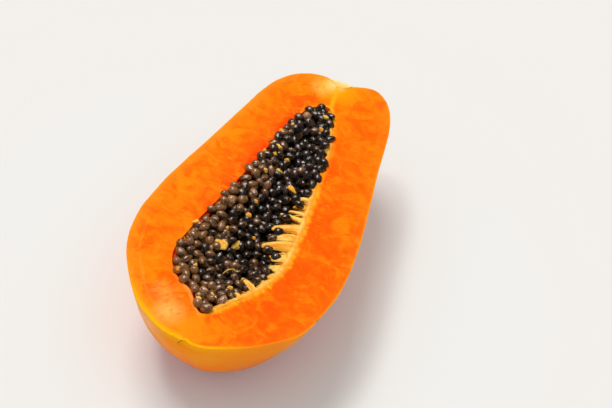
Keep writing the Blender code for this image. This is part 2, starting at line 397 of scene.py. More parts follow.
def points(piece, kind="co"):
    """The vertices of a piece as an array of positions, or of its normals."""
    flat = np.empty(len(piece.data.vertices) * 3)
    piece.data.vertices.foreach_get(kind, flat)
    return flat.reshape(-1, 3)


def move_points(piece, places):
    piece.data.vertices.foreach_set("co", np.asarray(places, float).ravel())
    piece.data.update()


def store(piece, name, values):
    """Keep a number, or a vector, for each vertex, where a material can read it."""
    values = np.asarray(values, np.float32)
    if values.ndim == 1:
        piece.data.attributes.new(name, "FLOAT", "POINT").data.foreach_set("value", values)
    else:
        layer = piece.data.attributes.new(name, "FLOAT_VECTOR", "POINT")
        layer.data.foreach_set("vector", values.ravel())


def shade_round(piece, angle=40.0, sharp=()):
    """Shade the piece smooth, but keep its corners above that angle and the given edges."""
    only(piece)
    bpy.ops.object.shade_smooth_by_angle(angle=math.radians(angle))
    for edge in piece.data.edges:
        if tuple(sorted(edge.vertices)) in sharp:
            edge.use_edge_sharp = True


def dress(piece, *materials):
    """Give the piece these materials and no others."""
    piece.data.materials.clear()
    for material in materials:
        piece.data.materials.append(material)


def rough(places, size, seed=0.0):
    """Smooth noise from about -1 to 1 at each place, with features of that size."""
    shift = Vector((seed, 0.37 * seed, -0.71 * seed))
    return np.array([noise.noise(Vector(place) / size + shift) for place in places])


print("helpers ready")

# %% [markdown]
# ## Outlines of the cut
#
# Two closed lines lie in the cut face: the skin's edge and the cavity's rim. Most of the
# flesh's pattern follows them. The fibres run from the cavity out to the skin, the colour
# deepens towards the cavity, and the skin shows as a thin yellow line, partly a painted
# highlight on the rounded edge. So each point of the cut face is told how far it is from
# both lines, and which point of the rim it belongs to.

# %% Find the two outlines


def cut_edges(piece):
    """The edges where the level cut face meets something steeper, as pairs of points."""
    levels = {}
    for face in piece.data.polygons:
        level = face.normal.z > 0.9 and abs(face.center.z - CUT) < 0.5 * MM
        for key in face.edge_keys:
            levels.setdefault(key, []).append(level)
    return {key for key, sides in levels.items() if sorted(sides) == [False, True]}


def nearest_on(lines, places):
    """For each place, its distance to the nearest of the lines in plan, and the point there."""
    start = lines[:, 0, :2]
    along = lines[:, 1, :2] - start
    length = np.maximum((along ** 2).sum(1), 1e-12)
    best = np.full(len(places), 1e9)
    foot = np.zeros((len(places), 2))
    for index in range(len(lines)):
        offset = places[:, :2] - start[index]
        share = np.clip(offset @ along[index] / length[index], 0.0, 1.0)
        point = start[index] + share[:, None] * along[index]
        gap = np.linalg.norm(places[:, :2] - point, axis=1)
        closer = gap < best
        best[closer] = gap[closer]
        foot[closer] = point[closer]
    return best, foot


flesh = working_copy("flesh_half", "papaya_flesh")
flesh_edges = cut_edges(flesh)
flesh_points = points(flesh)
outlines = np.array([[flesh_points[a], flesh_points[b]] for a, b in flesh_edges])
lining_low, lining_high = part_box("cavity_lining")
middles = outlines[:, :, :2].mean(axis=1)
box_low = np.array(lining_low)[:2] - MM
box_high = np.array(lining_high)[:2] + MM
inside = ((middles > box_low) & (middles < box_high)).all(axis=1)
cavity_rim = outlines[inside]
skin_edge = outlines[~inside]
CAVITY_START = lining_low.y
CAVITY_LENGTH = lining_high.y - lining_low.y
print(len(skin_edge), "edges at the skin and", len(cavity_rim), "at the cavity")


def rim_sides(y):
    """Where the cavity's left and right rims are, at a place along the fruit."""
    ends = cavity_rim[:, :, 1]
    crossing = cavity_rim[(ends.min(1) <= y) & (ends.max(1) >= y)]
    found = []
    for first, second in crossing:
        rise = second[1] - first[1]
        share = 0.5 if abs(rise) < 1e-9 else (y - first[1]) / rise
        found.append(first[0] + share * (second[0] - first[0]))
    return min(found), max(found)


def sides_of(places):
    """The cavity's left and right rims beside each place."""
    low, high = lining_low.y + MM, lining_high.y - MM
    return np.array([rim_sides(min(max(y, low), high)) for y in places[:, 1]]).T


def along_of(places):
    """How far along the cavity each place is, 0 to 1 from tip to tip."""
    return (places[:, 1] - CAVITY_START) / CAVITY_LENGTH


def in_cavity(along, across):
    """A place in the plan, from shares: 0 to 1 from tip to tip, -1 to 1 from left to right."""
    y = CAVITY_START + along * CAVITY_LENGTH
    left, right = rim_sides(y)
    return 0.5 * (left + right) + 0.5 * across * (right - left), y


def rounded_rim():
    """The rim without its inward bend: the edges of the smallest outline without dents."""
    corners = cavity_rim[:, :, :2].reshape(-1, 2)
    hull = corners[convex_hull_2d(corners.tolist())]
    loop = np.vstack([hull, hull[:1]])
    return np.stack([loop[:-1], loop[1:]], axis=1)


middle_sides = rim_sides(CAVITY_START + 0.5 * CAVITY_LENGTH)
print("cavity at its middle:", [round(x / MM, 1) for x in middle_sides])

# %% [markdown]
# ## The flesh
#
# The flesh is one piece, from the knife cut down to the thin skin. The knife leaves the
# cut almost flat, but the soft flesh sinks and swells a little, and its edge is rounded by
# the skin's thickness. Two levels of subdivision give enough points for that, a narrow
# bevel rounds the outer edge, and noise moves the points of the face and of the skin. The
# flat spot underneath stays flat. At the blossom end the two halves of the edge don't
# meet: a short split, left by the flower, lets one lie a little further out.

# %% Round off the flesh
CUT_WAVE = 0.40 * MM
SKIN_WAVE = 0.45 * MM
CUT_WAVE_FADE = 3 * MM
REST_HEIGHT = 4 * MM
EDGE_ROUND = 0.9 * MM
SHOULDER_DEPTH = 16 * MM
# How far the flesh is filled up at the stem end, at each place across the fruit.
SHOULDER_PLACES = (-26, -16, -10, -7, 5, 7.5, 11, 17, 24, 36)
SHOULDER_FILL = (0, 1.0, 2.6, 3.9, 3.7, 2.8, 1.3, 1.1, 1.4, 0)
SPLIT_STEP = 0.8 * MM
SPLIT_REACH = 7.0 * MM
SPLIT_LEAN = 0.6
SPLIT_WIDTH = 0.5 * MM

stem_low, stem_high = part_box("stem_base")
STEM_X = 0.5 * (stem_low.x + stem_high.x)


def climb(value, start, reach):
    """0 up to the start, then rising evenly to 1 over that reach."""
    return np.clip((value - start) / reach, 0.0, 1.0)


def bell(value, centre, reach):
    """1 at the centre, falling smoothly to 0 at that distance and beyond."""
    share = np.clip(1.0 - np.abs((value - centre) / reach), 0.0, 1.0)
    return share * share * (3.0 - 2.0 * share)


def fill_shoulders(places):
    """Fill the dips beside the stem, so that the cut's outline crosses it in one line."""
    fill = np.interp(places[:, 0] / MM, SHOULDER_PLACES, SHOULDER_FILL) * MM
    filled = places.copy()
    near_end = climb(places[:, 1], stem_low.y - SHOULDER_DEPTH, SHOULDER_DEPTH)
    filled[:, 1] += fill * near_end ** 2 * bell(places[:, 2], CUT, 30 * MM)
    return filled


def edges_by(piece, near, far):
    """The sharp edges of the cut that lie nearer to the first outline than to the second."""
    keys = sorted(cut_edges(piece))
    places = points(piece)
    middles = np.array([0.5 * (places[a] + places[b]) for a, b in keys])
    nearer = nearest_on(near, middles)[0] < nearest_on(far, middles)[0]
    return {key for key, picked in zip(keys, nearer) if picked}


def weigh_outer_edge(piece):
    """Give the bevel its edges: the sharp ones that lie along the skin's outline."""
    outer = edges_by(piece, skin_edge, cavity_rim)
    weights = [tuple(sorted(edge.vertices)) in outer for edge in piece.data.edges]
    layer = piece.data.attributes.new("bevel_weight_edge", "FLOAT", "EDGE")
    layer.data.foreach_set("value", np.asarray(weights, float))
    return len(outer)


def split_blossom_end(piece):
    """More points at the blossom pole, for the step in the edge there."""
    pole = Vector((0.0, flesh_low.y, CUT))
    edit_only(piece, "FACE", lambda face: (face.center - pole).length < 1.4 * SPLIT_REACH)
    bpy.ops.mesh.subdivide(number_cuts=2, ngon=False)
    bpy.ops.object.mode_set(mode="OBJECT")
    return sum(face.select for face in piece.data.polygons)


crease(flesh, flesh_edges)
smooth(flesh, 2)
rounded = weigh_outer_edge(flesh)
apply_modifier(flesh, "BEVEL", width=EDGE_ROUND, segments=2, limit_method="WEIGHT")
added = split_blossom_end(flesh)
rim_keys = edges_by(flesh, cavity_rim, skin_edge)
places = points(flesh)
normals = points(flesh, "normal")
on_cut = (places[:, 2] > CUT - 0.05 * MM) & (normals[:, 2] > 0.9)
to_skin = nearest_on(skin_edge, places)[0]
to_rim = nearest_on(cavity_rim, places)[0]
wave = rough(places, 16 * MM) + 0.5 * rough(places, 5 * MM, 3.0)
depth = np.where(on_cut, CUT_WAVE * climb(to_skin, 0.0, CUT_WAVE_FADE), SKIN_WAVE)
depth = np.where(places[:, 2] < REST_HEIGHT, 0.0, depth)
places = places + normals * (wave * depth)[:, None]
side = np.tanh((places[:, 0] + SPLIT_LEAN * (CUT - places[:, 2])) / SPLIT_WIDTH)
near = np.linalg.norm(places - np.array((0.0, flesh_low.y, CUT)), axis=1)
places[:, 1] += SPLIT_STEP * side * bell(near, 0.0, SPLIT_REACH)
places = fill_shoulders(places)
places[:, 2] = np.maximum(places[:, 2], 0.0)
move_points(flesh, places)
print(rounded, "edges rounded,", added, "small faces at the pole,", len(flesh.data.polygons), "in all")

# %% Tell each point where it lies
fibre_depth, fibre_foot = nearest_on(rounded_rim(), places)
store(flesh, "to_skin", np.where(on_cut | (to_rim < to_skin), to_skin, 0.0))
store(flesh, "to_rim", to_rim)
store(flesh, "fibre", np.column_stack([fibre_foot[:, 0], fibre_foot[:, 1], fibre_depth]))
store(flesh, "across", to_rim / np.maximum(to_rim + to_skin, 1e-6))
print("flesh between cavity and skin:", round(float(to_rim[on_cut].max()) / MM, 1), "mm at most")

# %% [markdown]
# ## The colours of the flesh
#
# Ripe papaya flesh is a strong, clean orange. It is deeper and redder next to the cavity,
# lighter and yellower under the skin, and paler still in two places, at the blossom end
# and round the stem. Short, soft streaks run outwards from the cavity, with swirls and
# dabs between them. The pattern reads the stored distances, so that it follows the
# fruit's outline. The flesh also lets some light through, which subsurface scattering
# imitates.

# %% Patterns of the cut flesh


class CutFlesh(Paint):
    """The paint of the cut face, with the distances and patterns that its layers share."""

    def __init__(self):
        super().__init__(
            "cut_flesh", (255, 116, 0), Specular_IOR_Level=0.02, Subsurface_Weight=0.15,
            Subsurface_Radius=(1.0, 0.25, 0.05), Subsurface_Scale=2.5 * MM,
        )
        fibre = self.attribute("fibre", "Vector")
        self.across = self.attribute("across")
        self.to_edge = self.attribute("to_skin")
        self.to_seeds = self.attribute("to_rim")
        self.streak = self.noise(7, 4.0, 0.62, fibre.scaled(1.0, 1.0, 0.35), 1.2)
        self.fine = self.noise(2.6, 3.0, 0.6, fibre.scaled(1.0, 1.0, 0.4), 0.8)
        self.dab = self.noise(4.5, 3.0, 0.6, fibre.scaled(1.0, 1.0, 0.6), 1.6)
        self.cloud = self.noise(26, 2.0, 0.5)
        self.blotch = self.noise(11, 3.0, 0.6, warp=1.5)
        self.swirl = self.noise(12, 3.0, 0.58, warp=1.0)
        self.right = (self.x + 4 * MM).ramp(0, 12)


print("patterns of the cut flesh ready")

# %% Mottle the cut flesh


def redden(paint):
    """Deeper, redder flesh next to the cavity, on the far right and along the left rim."""
    x, y, blotch = paint.x, paint.y, paint.blotch
    core = (1 - paint.across).step(0.20, 0.95) * (0.35 + 0.65 * paint.right) * blotch.step(0.22, 0.62)
    paint.cover(core * y.ramp(96, 50), (253, 84, 0))
    deep = x.ramp(16, 38) * y.ramp(30, -20) * blotch.step(0.30, 0.60)
    paint.cover(deep * 0.7, (252, 84, 0))
    left = STEM_X - x
    inner = left.ramp(2, 14) * paint.across.step(0.75, 0.05) * y.ramp(-60, 0)
    paint.cover(inner * 0.7, (250, 78, 6))
    rim = paint.to_seeds.ramp(8, 1) * left.ramp(2, 8) * y.ramp(-50, 20)
    paint.cover(rim * blotch.step(0.25, 0.50) * 0.9, (240, 44, 0))


def mottle(paint):
    """Streaks, dabs and swirls, lighter and redder, on flesh that is warmer to the right."""
    paint.cover(paint.streak.step(0.52, 0.70) * 0.60, (255, 142, 10))
    paint.cover(paint.streak.step(0.46, 0.30) * 0.55, (253, 90, 0))
    paint.cover(paint.fine.step(0.58, 0.76) * 0.40, (255, 154, 28))
    paint.cover(paint.x.ramp(0, 36) * (0.35 + 0.25 * paint.y.ramp(30, -60)), (253, 84, 0))
    paint.cover(paint.dab.step(0.54, 0.72) * 0.45, (255, 146, 20))
    paint.cover(paint.swirl.step(0.50, 0.66) * 0.50, (255, 138, 8))
    paint.cover(paint.swirl.step(0.50, 0.36) * 0.58, (252, 82, 0))


def lighten_outside(paint):
    """A lighter band inside the skin, widest on the left, with a faint pale ring further in."""
    left = 0 - paint.x
    band = paint.to_edge.ramp(9, 1) * (0.15 + 0.45 * left.ramp(-10, 20))
    paint.cover(band, (255, 140, 30))
    ring = (paint.to_edge - 8.5 * MM).size().ramp(1.6, 0.2) * left.ramp(0, 30)
    ring = ring * paint.y.ramp(-30, -70) * paint.cloud.step(0.3, 0.6)
    paint.cover(ring * 0.18, (255, 168, 66))


print("mottling ready")

# %% Add the pale ends and the borders


def pale_blossom_end(paint):
    """Yellowish flesh at the blossom end, two pale patches and the pale fold by the seeds."""
    paint.cover(paint.spot(-2, -119, 17) * 0.75, (255, 146, 14))
    paint.cover(paint.spot(-17, -114, 14) * paint.fine.step(0.15, 0.55) * 0.85, (254, 178, 84))
    paint.cover(paint.spot(-27, -102, 12) * paint.fine.step(0.30, 0.65) * 0.60, (254, 166, 76))
    fold = paint.to_seeds.ramp(3.2, 0.8) * (2 * MM - paint.x).ramp(0, 3) * paint.y.ramp(-84, -94)
    paint.cover(fold * 0.6, (255, 168, 74))


def pale_stem_end(paint):
    """Yellow flesh round the stem, its pale side, and the vein and seam that lead to it."""
    y, fine = paint.y, paint.fine
    stem_x = STEM_X / MM
    stem_y = stem_low.y / MM
    paint.cover(paint.spot(stem_x - 1, stem_y + 1, 20) * 0.9, (255, 160, 0))
    light = paint.spot(stem_x - 10, stem_y - 3, 12) * paint.streak.step(0.25, 0.55)
    paint.cover(light * 0.85, (253, 190, 84))
    cream = paint.spot(stem_x - 3, stem_y + 4, 10) * fine.step(0.15, 0.55)
    paint.cover(cream * 0.9, (253, 214, 130))
    bow = (y - stem_low.y) * 0.16 + 0.8 * MM
    vein = (paint.x - STEM_X + bow + (fine - 0.5) * 2 * MM).size().ramp(2.6, 0.4)
    paint.cover(vein * y.ramp(stem_y - 34, stem_y - 12) * 0.8, (255, 172, 20))
    seam = paint.to_seeds.ramp(2.6, 0.6) * y.ramp(70, 92) * fine.step(0.25, 0.55)
    paint.cover(seam * 0.8, (255, 172, 40))


def colour_borders(paint):
    """The frayed right rim, the cavity's red wall, darkened by painted shade, and the yellow edge under
    the skin, partly a painted highlight.
    """
    x, y, to_edge = paint.x, paint.y, paint.to_edge
    frayed = (paint.to_seeds + (paint.streak - 0.5) * 7 * MM).ramp(4.0, 0.5)
    frayed = frayed * paint.right * (0.4 + 0.6 * y.ramp(60, 20))
    paint.cover(frayed * (0.45 + 0.5 * paint.fine.step(0.35, 0.65)), (255, 176, 30))
    # Below the cut the wall is painted deep red: partly the flesh's deeper colour, partly painted shade
    # in the cavity.
    wall = paint.blend(y.ramp(-78, -92), tint(236, 50, 0), tint(250, 140, 40))
    paint.cover(paint.drop.ramp(0.3, 3), wall)
    left = 0 - x
    # The yellow edge under the skin: partly the flesh's own yellow margin, partly a painted highlight on
    # the rounded edge.
    reach = (y + left.ramp(0, 12) * 27 * MM).ramp(-60, -104)
    paint.cover(to_edge.ramp(3.0, 0.6) * reach * x.ramp(42, 10), (255, 176, 0))
    paint.cover(to_edge.ramp(5.5, 1) * y.ramp(-98, -128) * left.ramp(-4, 10) * 0.7, (255, 180, 0))
    paint.cover(to_edge.ramp(1.6, 0.4) * 0.45, (255, 156, 20))


print("ends and borders ready")

# %% Paint all the layers


def paint_cut_flesh():
    """The orange cut face: all its layers, over one that drifts between two oranges."""
    paint = CutFlesh()
    paint.cover(paint.cloud.step(0.35, 0.68), (255, 130, 2))
    for add_layers in (redden, mottle, lighten_outside, pale_blossom_end, pale_stem_end, colour_borders):
        add_layers(paint)
    relief = paint.streak * 0.5 + paint.fine * 0.35 + paint.noise(0.9, 2.0) * 0.25
    return paint.lay(Normal=paint.bump(relief, 0.35), Roughness=0.36 + 0.16 * paint.blotch)


flesh_paint = paint_cut_flesh()
print("painted", flesh_paint.name)

# %% [markdown]
# ## The skin
#
# The skin is a thin, waxy layer that turns from green to yellow and orange. Here it is
# ripe all over. Painted light makes it brightest just under the cut, where the light comes
# through it, most of all at the blossom end, which also has a pale painted highlight on its
# left side. Painted shade makes it deeper orange lower down. It has faint freckles, and the
# blossom end keeps a short dark scar, where the flower was.

# %% Paint the skin
SCAR_LENGTH = 5.5 * MM
SCAR_WIDTH = 0.6 * MM
# A face is skin if its normal leans out from the cut and it lies outside, or faces down.
LEANS = 0.55
FACES_DOWN = -0.25


def paint_skin():
    """Waxy ripe skin, freckled, with painted light at the cut edge and painted shade lower down."""
    paint = Paint(
        "ripe_skin", (255, 132, 2), Specular_IOR_Level=0.04, Subsurface_Weight=0.45,
        Subsurface_Radius=(1.0, 0.4, 0.04), Subsurface_Scale=6.0 * MM,
    )
    x, y, drop = paint.x, paint.y, paint.drop
    mottling = paint.noise(8, 4.0, 0.6)
    pore = paint.noise(1.3, 2.0)
    blossom = y.ramp(-60, -120)
    paint.cover(paint.noise(38, 3.0, 0.55).step(0.36, 0.66), (255, 147, 8))
    paint.cover(mottling.step(0.55, 0.75) * 0.30, (255, 174, 52))
    # Painted shade: the skin turns deeper, darker orange lower down, towards the floor.
    paint.cover(drop.ramp(10, 60) * 0.9, (248, 84, 0))
    # Painted light: a yellow glow just under the cut, strongest at the blossom end, with a brighter
    # crown there.
    paint.cover(drop.ramp(5, 0.5) * (0.25 + 0.65 * blossom * x.ramp(40, 5)), (255, 166, 10))
    crown_glow = drop.ramp(7, 1) * y.ramp(-114, -126)
    paint.cover(crown_glow * 0.6, (255, 168, 0))
    # Painted highlight: a pale glare on the left side of the skin near the blossom end.
    painted_glare = (0 - x).ramp(8, 30) * blossom * (drop - 9 * MM).size().ramp(10, 2)
    paint.cover(painted_glare * 0.7, (255, 184, 112))
    paint.cover(pore.step(0.66, 0.74) * 0.30, (214, 104, 18))
    scar = (x + 0.6 * drop).size().step(SCAR_WIDTH, 0.25 * SCAR_WIDTH)
    scar = scar * drop.step(SCAR_LENGTH, 0.6 * SCAR_LENGTH) * y.ramp(-110, -122)
    paint.cover(scar * 0.8, (130, 64, 8))
    relief = mottling * 0.6 + pore * 0.4 - scar * 2.0
    return paint.lay(Normal=paint.bump(relief, 0.25), Roughness=0.32 + 0.14 * mottling)


dress(flesh, flesh_paint, paint_skin())
skin_faces = 0
for face in flesh.data.polygons:
    vertex = face.vertices[0]
    outside = to_skin[vertex] < to_rim[vertex] or face.normal.z < FACES_DOWN
    face.material_index = int(face.normal.z < LEANS and outside)
    skin_faces += face.material_index
shade_round(flesh, 50.0, rim_keys)
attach(flesh, "root")
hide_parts("flesh_half")
print(skin_faces, "skin faces of", len(flesh.data.polygons))

# %% [markdown]
# ## The lining of the cavity
#
# The seeds grow on a soft, fibrous lining. On the cut's right side it shows as a pale,
# frayed band that runs down the wall. On the left it is torn thin, and the red flesh
# shines through. Down the wall it is darkened by painted shade. The CAD lining keeps a
# hair's gap to the flesh, so its outer wall is swollen into the flesh here, and its free
# surface is roughened along its fibres.

# %% Fray the lining
LINING_OVERLAP = 0.55 * MM
LINING_FRAY = 0.75 * MM
FIBRE_LEAN = 0.28
FIBRE_STRETCH = 0.25
RIGHT_BLEND = 6 * MM
LEFT_DROP = 2.4 * MM

lining = working_copy("cavity_lining", "fibrous_lining")
crease(lining, cut_edges(lining))
smooth(lining, 2)
places = points(lining)
normals = points(lining, "normal")
left, right = sides_of(places)
middle_x = 0.5 * (left + right)
outward = np.column_stack([places[:, 0] - middle_x, np.zeros(len(places)), places[:, 2] - CUT])
outer_wall = (outward * normals).sum(axis=1) > 0.0
strands = places * (FIBRE_STRETCH, 1.0, FIBRE_STRETCH)
strands[:, 1] += FIBRE_LEAN * places[:, 0]
fray = rough(strands, 1.9 * MM, 5.0) + 0.6 * rough(strands, 0.9 * MM, 9.0)
right_side = climb(places[:, 0], middle_x, RIGHT_BLEND)
lift = np.where(outer_wall, LINING_OVERLAP, LINING_FRAY * fray * (0.35 + 0.65 * right_side))
places = places + normals * lift[:, None]
to_rim = nearest_on(cavity_rim, places)[0]
ceiling = CUT + 0.35 * MM * fray * right_side * climb(to_rim, 0.0, 2 * MM)
ceiling = ceiling - LEFT_DROP * (1.0 - right_side)
places[:, 2] = np.minimum(places[:, 2], ceiling)
move_points(lining, places)
store(lining, "strand", strands)
store(lining, "right_side", right_side)
store(lining, "to_rim", to_rim)
print("lining:", len(lining.data.polygons), "faces")

# %% Paint the lining and its strands


def colour_wall(paint, cloud):
    """The lining's colours: darker down the wall as painted shade, orange at the rim, red on the left,
    near black deeper down as painted shade.
    """
    # Painted shade: darker orange-brown down the wall, in the slots between the tongues.
    paint.cover(paint.drop.ramp(2.5, 7) * 0.85, (196, 84, 6))
    joined = (paint.attribute("to_rim") + (cloud - 0.5) * 2 * MM).ramp(2.2, 0.4)
    paint.cover(joined * 0.8, (255, 146, 16))
    # On the left the lining is flesh red, turning almost black deeper down as painted shade.
    red = paint.blend(paint.drop.ramp(3.5, 8), tint(240, 56, 0), tint(60, 10, 2))
    paint.cover(paint.attribute("right_side").step(0.9, 0.1), red)


def paint_strands(name, is_wall):
    """Pale yellow fibres with darker furrows; the lighter ridges and hairs are partly painted
    highlights.
    """
    paint = Paint(
        name, (254, 164, 28), Roughness=0.5, Specular_IOR_Level=0.22, Subsurface_Weight=0.3,
        Subsurface_Radius=(1.0, 0.5, 0.15), Subsurface_Scale=2.0 * MM,
    )
    strand = paint.attribute("strand", "Vector")
    furrow = paint.noise(1.5, 3.0, 0.6, strand)
    hair = paint.noise(0.6, 2.0, 0.5, strand)
    cloud = paint.noise(7, 2.0)
    paint.cover(cloud.step(0.36, 0.62), (254, 198, 90))
    # The lighter ridges and hairs are partly painted highlights.
    paint.cover(furrow.step(0.50, 0.66) * 0.8, (255, 210, 100))
    paint.cover(furrow.step(0.47, 0.34) * 0.9, (248, 136, 10))
    paint.cover(hair.step(0.58, 0.70) * 0.5, (255, 224, 132))
    if is_wall:
        colour_wall(paint, cloud)
    return paint.lay(Normal=paint.bump(furrow * 0.7 + hair * 0.3, 0.9))


dress(lining, paint_strands("pale_lining", True))
shade_round(lining, 60.0)
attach(lining, "root")
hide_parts("cavity_lining")
print("lining painted")

# %% [markdown]
# ## Tongues of fibre
#
# Where seeds were pulled away from the right wall, the lining stands up in soft tongues
# that reach over the heap, with dark slots between them, where painted shade darkens the
# wall. One tongue is modelled as a straight blunt rod: a circle, extruded and narrowed
# step by step. Its copies are bent along the wall, each with its own length, width and
# droop. Much thinner ones, drawn at random, fray the whole rim.

# %% Model one tongue
TONGUE_STEPS = 8
TONGUE_SIDES = 10
TONGUE_NARROWING = 0.42
TONGUE_TIP = 0.42


def taper(share):
    """Half width of a tongue at a share of its length, down to that of its blunt end."""
    width = (1.0 - TONGUE_NARROWING * share) * math.sqrt(max(1.0 - share ** 10, 0.0))
    return max(width, TONGUE_TIP)


def model_tongue():
    """A rod of length 1 along +Z, tapered and closed at its end."""
    bpy.ops.object.select_all(action="DESELECT")
    bpy.ops.mesh.primitive_circle_add(vertices=TONGUE_SIDES, radius=1.0, fill_type="NGON")
    rod = bpy.context.object
    bpy.ops.object.mode_set(mode="EDIT")
    bpy.ops.mesh.select_mode(type="FACE")
    bpy.ops.mesh.select_all(action="SELECT")
    rise = 1.0 / TONGUE_STEPS
    for step in range(TONGUE_STEPS):
        share = (step + 1) * rise
        change = taper(share) / taper(share - rise)
        bpy.ops.mesh.extrude_region_move(TRANSFORM_OT_translate={"value": (0.0, 0.0, rise)})
        bpy.ops.transform.resize(value=(change, change, 1.0), center_override=(0.0, 0.0, share))
    bpy.ops.mesh.select_all(action="SELECT")
    bpy.ops.mesh.normals_make_consistent(inside=False)
    bpy.ops.object.mode_set(mode="OBJECT")
    return rod


def take_form(piece):
    """The points and faces of a model that is only a pattern, which is then removed."""
    places = points(piece)
    faces = [tuple(face.vertices) for face in piece.data.polygons]
    bpy.data.objects.remove(piece, do_unlink=True)
    return places, faces


def join_copies(name, copies, faces, **kept):
    """One mesh from many sets of points that share the same faces."""
    size = len(copies[0])
    every_face = [tuple(corner + number * size for corner in face)
                  for number in range(len(copies)) for face in faces]
    mesh = bpy.data.meshes.new(name)
    mesh.from_pydata(np.concatenate(copies).tolist(), [], every_face)
    mesh.update()
    piece = bpy.data.objects.new(name, mesh)
    bpy.context.scene.collection.objects.link(piece)
    for key, values in kept.items():
        store(piece, key, np.concatenate(values))
    return piece


tongue_points, tongue_faces = take_form(model_tongue())
print("a tongue has", len(tongue_faces), "faces")

# %% Bend the tongues along the right wall
# Each tongue: place of its root along the rim, length, root width and lean towards the stem.
TONGUES = (
    (0.815, 8.0, 6.0, -0.1), (0.655, 6.0, 2.6, -0.1), (0.625, 8.5, 3.2, -0.2),
    (0.585, 14.0, 4.2, -0.24), (0.550, 10.0, 3.4, -0.1), (0.518, 12.0, 3.4, 0.0),
    (0.492, 17.0, 5.0, 0.1), (0.456, 18.5, 8.0, -0.22), (0.414, 16.5, 8.0, -0.27),
    (0.378, 20.0, 8.4, -0.27), (0.330, 14.0, 8.4, -0.3), (0.283, 8.5, 7.5, -0.1),
    (0.240, 6.0, 6.5, 0.1), (0.200, 5.0, 5.0, 0.3), (0.160, 10.0, 5.5, 0.7),
    (0.115, 5.0, 4.0, 0.6),
)
TONGUE_SLOPE = 0.16
TONGUE_SAG = 0.10
TONGUE_THICK = 2.6 * MM
TONGUE_WAVE = 0.7 * MM
ROOT_BEHIND_RIM = 1.4 * MM
ROOT_OVER_WALL = -1.5 * MM
TIP_OVER_WALL = 0.3 * MM
draw = np.random.default_rng(7)


def tree_of(piece):
    mesh = piece.data
    return BVHTree.FromPolygons([vertex.co for vertex in mesh.vertices],
                                [tuple(face.vertices) for face in mesh.polygons])


lining_tree = tree_of(lining)
heap_tree = tree_of(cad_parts["seed_mass"])
DOWN = Vector((0.0, 0.0, -1.0))


def height_over(tree, x, y, otherwise):
    """The height of the topmost surface at a place in the plan."""
    hit = tree.ray_cast(Vector((x, y, CUT + 0.02)), DOWN)[0]
    return otherwise if hit is None else hit.z


def bend_rod(path, width, thick, twist):
    """The tongue's points, laid along a path of positions."""
    bent = []
    coords = []
    spans = len(path) - 1
    for px, py, pz in tongue_points:
        place = min(max(pz, 0.0), 1.0) * spans
        index = min(int(place), spans - 1)
        centre = path[index].lerp(path[index + 1], place - index)
        heading = (path[index + 1] - path[index]).normalized()
        side = heading.cross(Vector((0.0, 0.0, 1.0))).normalized()
        side = (Matrix.Rotation(twist, 3, heading) @ side).normalized()
        up = side.cross(heading)
        bent.append(centre + side * (px * 0.5 * width) + up * (py * 0.5 * thick))
        coords.append((px * 0.5 * width, py * 0.5 * thick, pz * 1.5 * MM))
    return np.array(bent), np.array(coords)


def wall_path(along, length, slope, lean, root_drop, wobble):
    """From the cut's right rim leftwards, down the wall and then free over the heap."""
    x, y = in_cavity(along, 1.0)
    start = Vector((x - ROOT_BEHIND_RIM, y, CUT - root_drop))
    path = []
    for step in range(TONGUE_STEPS + 1):
        share = step / TONGUE_STEPS
        across = start.x - length * share
        up_fruit = start.y + lean * length * share + wobble * math.sin(3.0 * share)
        free = start.z - slope * length * share - TONGUE_SAG * length * share ** 2
        wall = height_over(lining_tree, across, up_fruit, free)
        clear = ROOT_OVER_WALL + (TIP_OVER_WALL - ROOT_OVER_WALL) * min(1.0, 3.0 * share)
        path.append(Vector((across, up_fruit, min(max(free, wall + clear), start.z + clear))))
    return path


tongue_copies = []
tongue_strands = []
for number, (along, length, width, lean) in enumerate(TONGUES):
    path = wall_path(along, length * MM, TONGUE_SLOPE + draw.uniform(-0.05, 0.05), lean,
                     draw.uniform(0.2, 0.7) * MM, draw.uniform(-0.9, 0.9) * MM)
    bent, coords = bend_rod(path, width * MM, TONGUE_THICK, draw.uniform(-0.4, 0.2))
    waves = [rough(bent, 2.6 * MM, seed) for seed in (11.0, 23.0, 37.0)]
    bent = bent + TONGUE_WAVE * np.column_stack(waves)
    tongue_copies.append(bent)
    tongue_strands.append(coords + number * 7 * MM)
tongues = join_copies("fibre_tongues", tongue_copies, tongue_faces, strand=tongue_strands)
smooth(tongues, 2)
tongues.data.materials.append(paint_strands("torn_fibre", False))
shade_round(tongues, 60.0)
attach(tongues, "root")
print(len(TONGUES), "tongues,", len(tongues.data.polygons), "faces")

# %% Fray the whole right rim with thin fibres
HAIR_COUNT = 110

hair_copies = []
hair_strands = []
for number in range(HAIR_COUNT):
    along = draw.uniform(0.03, 0.97)
    length = draw.uniform(2.0, 4.5) * MM + 5 * MM * float(bell(along, 0.40, 0.30))
    path = wall_path(along, length, draw.uniform(0.15, 0.50), draw.uniform(-0.50, 0.40),
                     draw.uniform(0.1, 0.9) * MM, draw.uniform(-0.9, 0.9) * MM)
    width = draw.uniform(0.6, 1.2) * MM
    bent, coords = bend_rod(path, width, 0.8 * width, 0.0)
    hair_copies.append(bent)
    hair_strands.append(coords + number * 3 * MM)
hairs = join_copies("thin_fibres", hair_copies, tongue_faces, strand=hair_strands)
hairs.data.materials.append(tongues.data.materials[0])
shade_round(hairs, 60.0)
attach(hairs, "root")
print(HAIR_COUNT, "thin fibres,", len(hairs.data.polygons), "faces")

